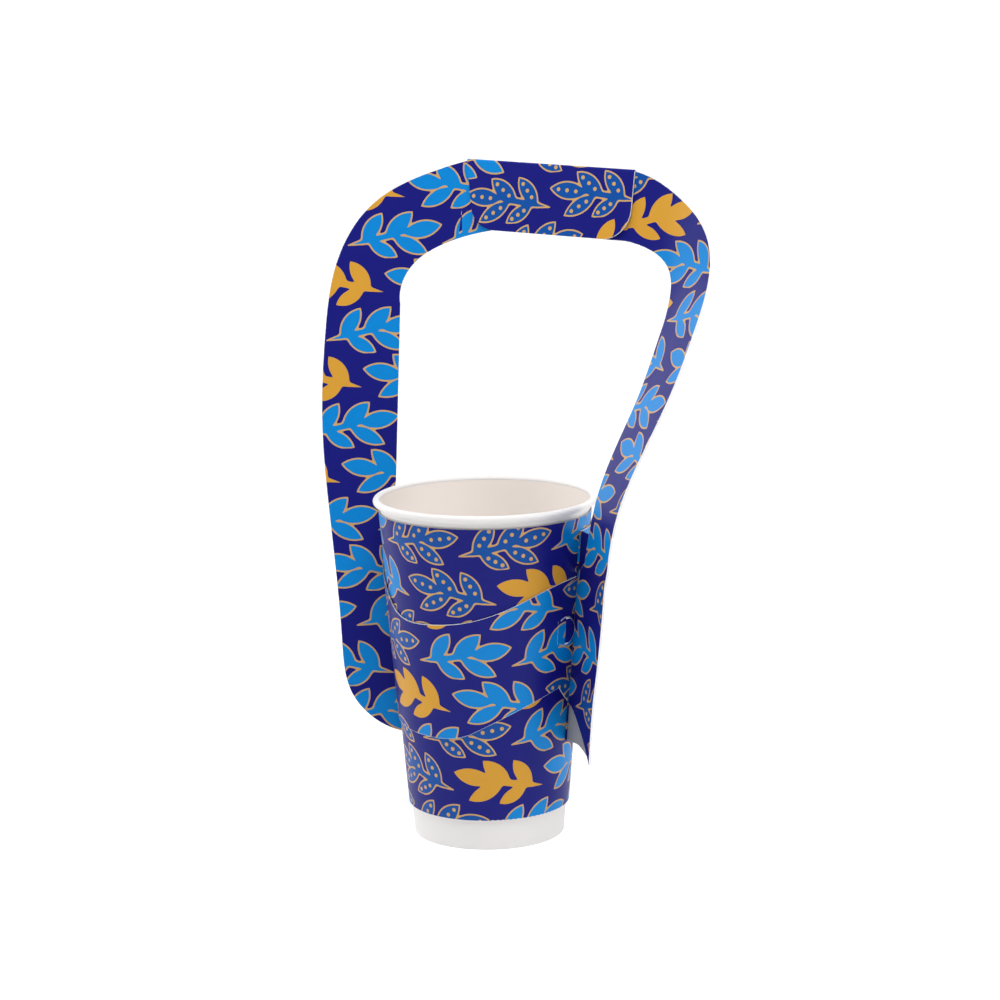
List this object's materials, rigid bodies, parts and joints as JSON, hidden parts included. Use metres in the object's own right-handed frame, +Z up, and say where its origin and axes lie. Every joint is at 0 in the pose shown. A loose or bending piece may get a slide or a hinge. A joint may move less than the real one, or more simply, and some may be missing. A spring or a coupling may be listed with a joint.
{
  "type": "cardboard cup carrier",
  "caption": "Folded card carrier with a ring handle and a sleeve strap, holding a double-wall paper cup.",
  "frame": {"origin": "centre of the cup's base ring, on the surface it stands on", "axes": "+Z up along the cup's axis, -Y towards the strap side, +X towards the arm that turns forward"},
  "size_m": [0.1555, 0.1062, 0.2692],
  "materials": {
    "printed_card": "offset print on white card, satin coating, bare white cut edges",
    "cup_paper": "white cup stock with a thin smooth lining",
    "cup_print": "printed outer wall, satin coating, bare white lower band edge"
  },
  "bodies": {
    "root": {"carrier": "printed_card", "cup_body": "cup_paper", "cup_bottom": "cup_paper", "cup_skirt": "cup_print"}
  },
  "joints": []
}
